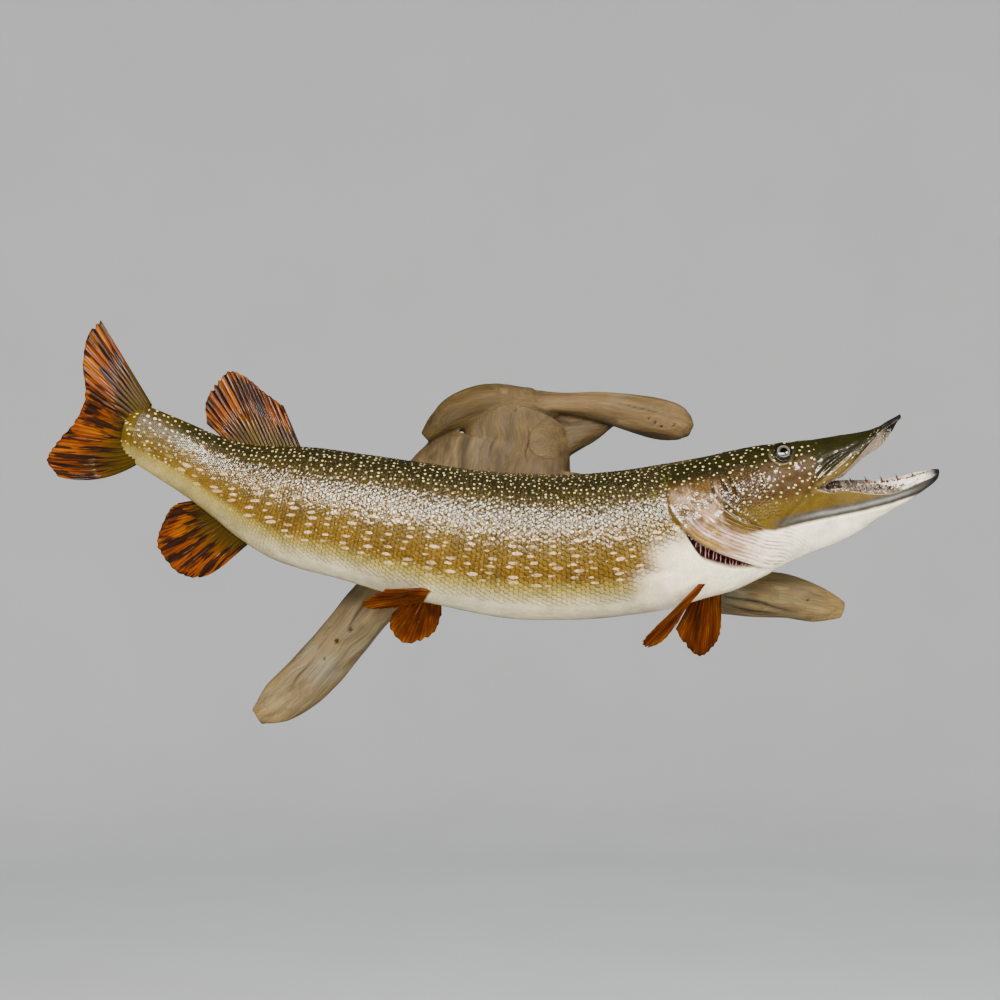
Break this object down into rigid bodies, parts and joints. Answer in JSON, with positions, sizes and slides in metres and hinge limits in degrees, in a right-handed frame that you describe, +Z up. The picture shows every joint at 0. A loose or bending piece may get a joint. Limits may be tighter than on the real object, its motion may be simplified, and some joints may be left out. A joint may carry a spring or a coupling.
{
  "type": "mounted northern pike on driftwood",
  "caption": "Life-size skin mount of a northern pike with open jaws and spread fins, lying across a weathered driftwood panel that hangs flat on a wall",
  "frame": {"origin": "on the flat back of the driftwood core, where it rests on the wall, behind the middle of the fish", "axes": "+X towards the fish's head, +Y into the wall, +Z up"},
  "size_m": [0.9375, 0.1781, 0.4332],
  "materials": {
    "skin": "scaled fish skin under clear gloss lacquer",
    "fins": "dried fin membrane and rays under clear gloss lacquer",
    "gills": "gloss",
    "mouth": "gloss",
    "eyes": "polished glass over a painted iris",
    "driftwood": "weathered, dry and unvarnished"
  },
  "bodies": {
    "root": {"head": "skin", "lower_jaw": "skin", "throat": "skin", "gill_cover_right": "skin", "gill_cover_left": "skin", "trunk_front": "skin", "trunk_middle": "skin", "trunk_rear": "skin", "dorsal_fin": "fins", "anal_fin": "fins", "tail_fin": "fins", "pectoral_fin_right": "fins", "pectoral_fin_left": "fins", "pelvic_fin_right": "fins", "pelvic_fin_left": "fins", "gills_right": "gills", "gills_left": "gills", "tongue": "mouth", "eye_right": "eyes", "eye_left": "eyes", "driftwood_core": "driftwood", "driftwood_lobe": "driftwood", "driftwood_arm": "driftwood", "driftwood_limb_left": "driftwood", "driftwood_limb_right": "driftwood"}
  },
  "joints": []
}
